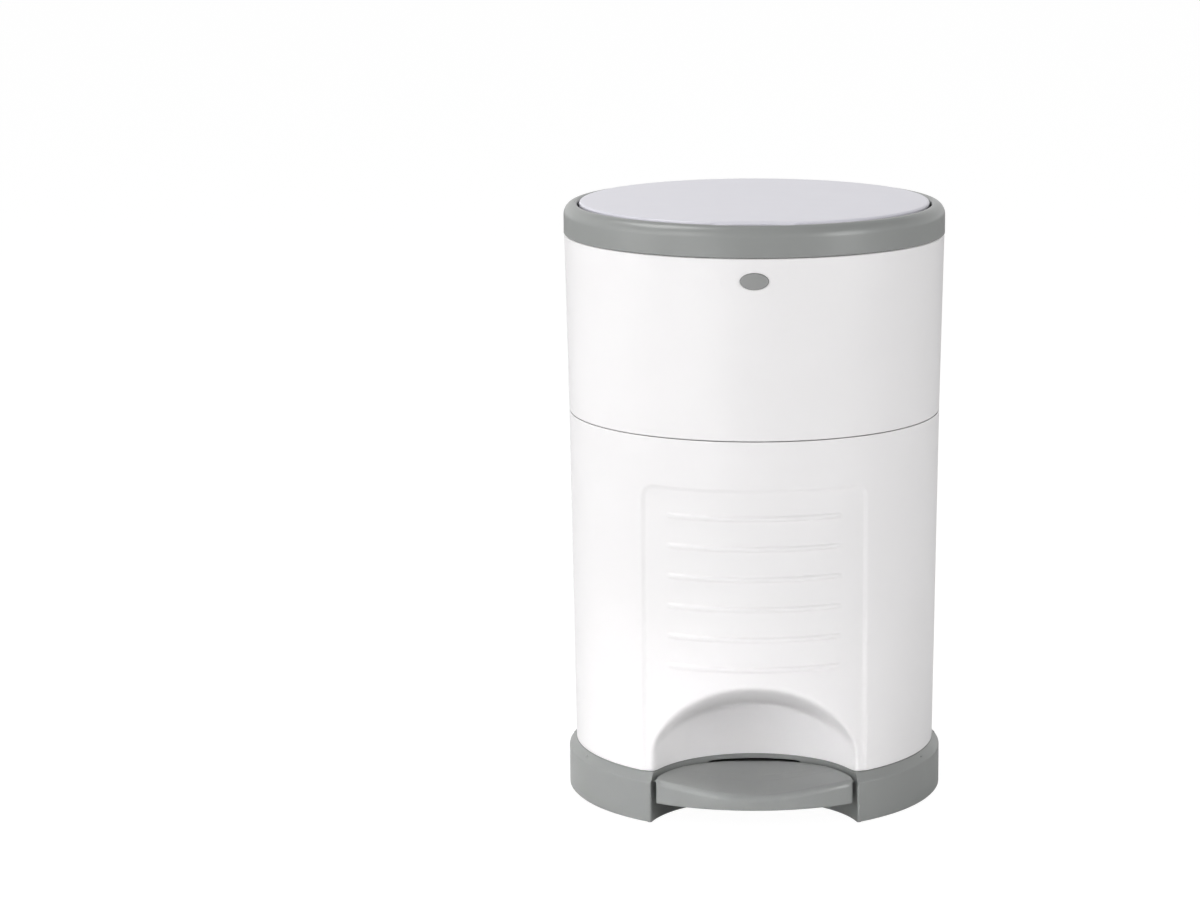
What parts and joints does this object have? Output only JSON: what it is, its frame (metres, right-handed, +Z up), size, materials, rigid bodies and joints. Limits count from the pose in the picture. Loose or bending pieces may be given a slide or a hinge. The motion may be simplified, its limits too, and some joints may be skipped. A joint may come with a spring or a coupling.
{
  "type": "nappy bin",
  "caption": "Round pedal bin for used nappies: the pedal opens the lid and trap doors together; hinged top cover for the liner, side-hung front door to empty it.",
  "frame": {"origin": "on the floor under the axis of the round pail", "axes": "+Z up along the pail, -Y towards the user and the pedal, +X to the user's right"},
  "size_m": [0.28, 0.2805, 0.442],
  "materials": {
    "white_moulding": "satin white injection moulding",
    "lid_moulding": "smooth satin white lid with a faint lilac cast",
    "grey_moulding": "fine-grained mid grey moulding",
    "black_nylon": "dark glass-filled nylon",
    "black_rubber": "soft rubber",
    "zinc_steel": "zinc-plated steel",
    "spring_steel": "bright drawn wire and strip"
  },
  "bodies": {
    "pail": {"base": "grey_moulding", "rubber_feet": "black_rubber", "body_shell": "white_moulding", "rod_channel": "white_moulding", "liner_tray": "grey_moulding", "base_screws": "zinc_steel", "tray_screws": "zinc_steel", "pedal_axle": "zinc_steel", "pedal_spring": "spring_steel", "door_hinge_pins": "zinc_steel", "cover_hinge_pin": "zinc_steel", "door_strike": "grey_moulding", "latch_housing": "grey_moulding", "latch_spring": "spring_steel"},
    "pedal_lever_set": {"pedal": "grey_moulding", "pedal_lever": "black_nylon", "pedal_screws": "zinc_steel"},
    "rod": {"push_rod": "zinc_steel", "rod_shoe": "black_nylon", "rod_cap": "black_nylon"},
    "cover": {"top_ring": "grey_moulding", "hopper": "white_moulding", "rim_seal": "black_rubber", "ring_screws": "zinc_steel", "lid_hinge_pin": "zinc_steel", "trap_springs": "spring_steel", "cover_catch": "grey_moulding"},
    "yoke": {"lift_yoke": "black_nylon"},
    "lid_set": {"lid": "lid_moulding", "lid_inner": "white_moulding"},
    "trap_left": {"trap_door_left": "grey_moulding", "trap_crank_left": "black_nylon"},
    "trap_right": {"trap_door_right": "grey_moulding", "trap_crank_right": "black_nylon"},
    "button": {"release_button": "grey_moulding", "latch_slide": "black_nylon"},
    "door": {"front_door": "white_moulding", "liner_cutter": "grey_moulding", "cutter_blade": "spring_steel", "door_catch": "grey_moulding"}
  },
  "joints": [
    {"name": "pedal_press", "type": "hinge", "parent": "pail", "child": "pedal_lever_set", "pos_m": [0, -0.02, 0.024], "axis": [1, 0, 0], "range_deg": [0, 6], "stiffness_Nm_per_rad": 1.5, "springref_deg": -14.32, "deforming": ["pedal_spring"]},
    {"name": "rod_lift", "type": "slide", "parent": "pail", "child": "rod", "axis": [0, 0, 1], "range_m": [0, 0.015]},
    {"name": "cover_swing", "type": "hinge", "parent": "pail", "child": "cover", "pos_m": [0, 0.134, 0.41], "axis": [-1, 0, 0], "range_deg": [0, 75]},
    {"name": "lid_swing", "type": "hinge", "parent": "cover", "child": "lid_set", "pos_m": [0, 0.134, 0.431], "axis": [-1, 0, 0], "range_deg": [0, 76]},
    {"name": "yoke_lift", "type": "slide", "parent": "cover", "child": "yoke", "axis": [0, 0, 1], "range_m": [0, 0.015]},
    {"name": "trap_left_drop", "type": "hinge", "parent": "cover", "child": "trap_left", "pos_m": [-0.061, 0, 0.356], "axis": [0, 1, 0], "range_deg": [0, 75], "stiffness_Nm_per_rad": 0.01, "springref_deg": -57.3},
    {"name": "trap_right_drop", "type": "hinge", "parent": "cover", "child": "trap_right", "pos_m": [0.061, 0, 0.356], "axis": [0, -1, 0], "range_deg": [0, 75], "stiffness_Nm_per_rad": 0.01, "springref_deg": -57.3},
    {"name": "button_push", "type": "slide", "parent": "pail", "child": "button", "axis": [0, 1, 0], "range_m": [0, 0.003], "stiffness_N_per_m": 400, "springref_m": -0.003, "deforming": ["latch_spring"]},
    {"name": "door_swing", "type": "hinge", "parent": "pail", "child": "door", "pos_m": [-0.12874, 0.04686, 0.16], "axis": [0, 0, -1], "range_deg": [0, 105]}
  ],
  "couplings": [
    {"joint": "rod_lift", "follows": "pedal_press", "m_per_rad": 0.1432},
    {"joint": "yoke_lift", "follows": "pedal_press", "m_per_rad": 0.1432},
    {"joint": "lid_swing", "follows": "pedal_press", "ratio": 12.66},
    {"joint": "trap_left_drop", "follows": "pedal_press", "ratio": 12.49},
    {"joint": "trap_right_drop", "follows": "pedal_press", "ratio": 12.49}
  ]
}
